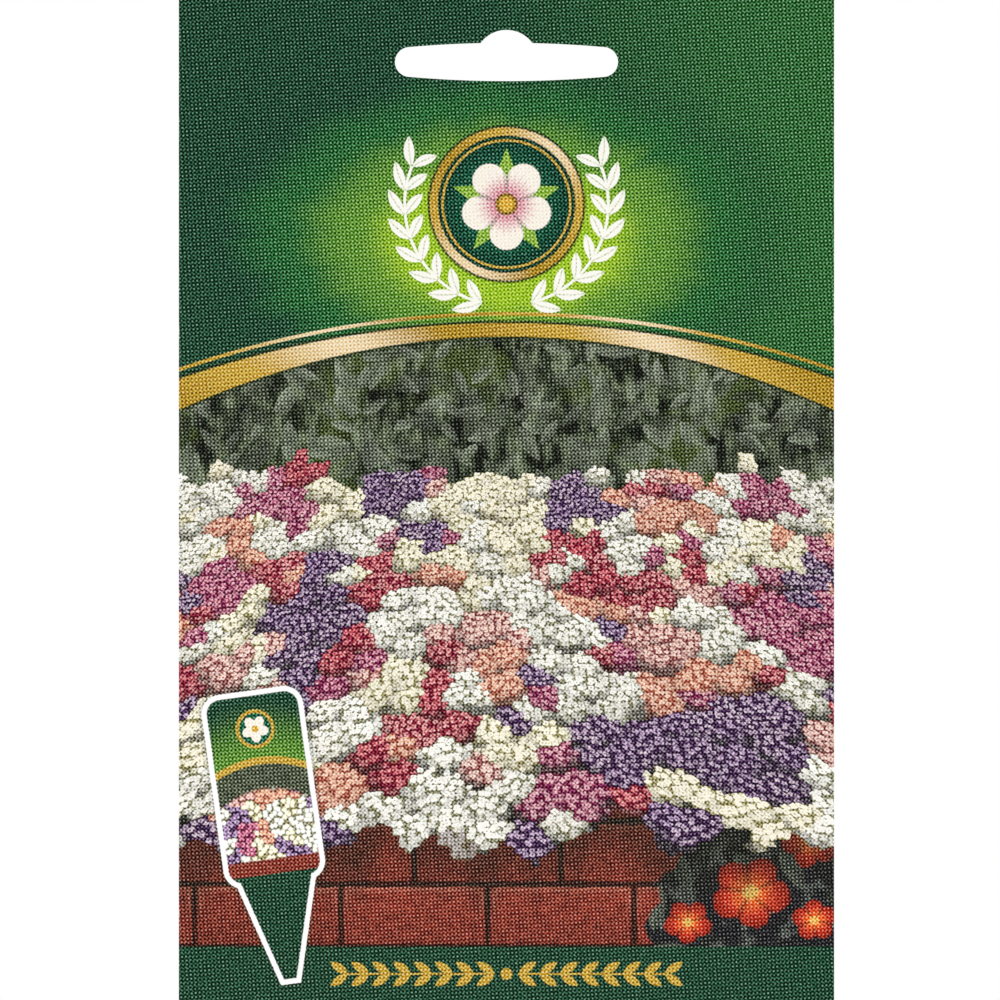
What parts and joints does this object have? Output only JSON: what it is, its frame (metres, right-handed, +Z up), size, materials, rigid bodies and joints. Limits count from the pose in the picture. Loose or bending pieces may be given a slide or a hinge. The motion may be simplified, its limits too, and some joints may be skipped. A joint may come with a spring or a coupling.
{
  "type": "seed packet",
  "caption": "Flat printed paper seed packet with a punched hang slot, holding a plant label and a sealed sachet of seeds.",
  "frame": {"origin": "middle of the hang slot's raised upper edge, where a display peg bears, halfway between the header's front and back layers", "axes": "+Z up the packet as it hangs, towards the header's top edge; +X to the right as seen from the front; +Y from the printed front to the back"},
  "size_m": [0.094, 0.0035, 0.144],
  "materials": {
    "printed_paper": "satin",
    "dried_glue": "satin",
    "label_board": "satin",
    "sachet_foil": "satin",
    "seed_coat": "matte"
  },
  "bodies": {
    "root": {"bag_sheet": "printed_paper", "side_seam_glue": "dried_glue", "bottom_flap_glue": "dried_glue", "header_glue": "dried_glue", "plant_label": "label_board", "sachet_front_foil": "sachet_foil", "sachet_back_foil": "sachet_foil", "seeds": "seed_coat"}
  },
  "joints": []
}
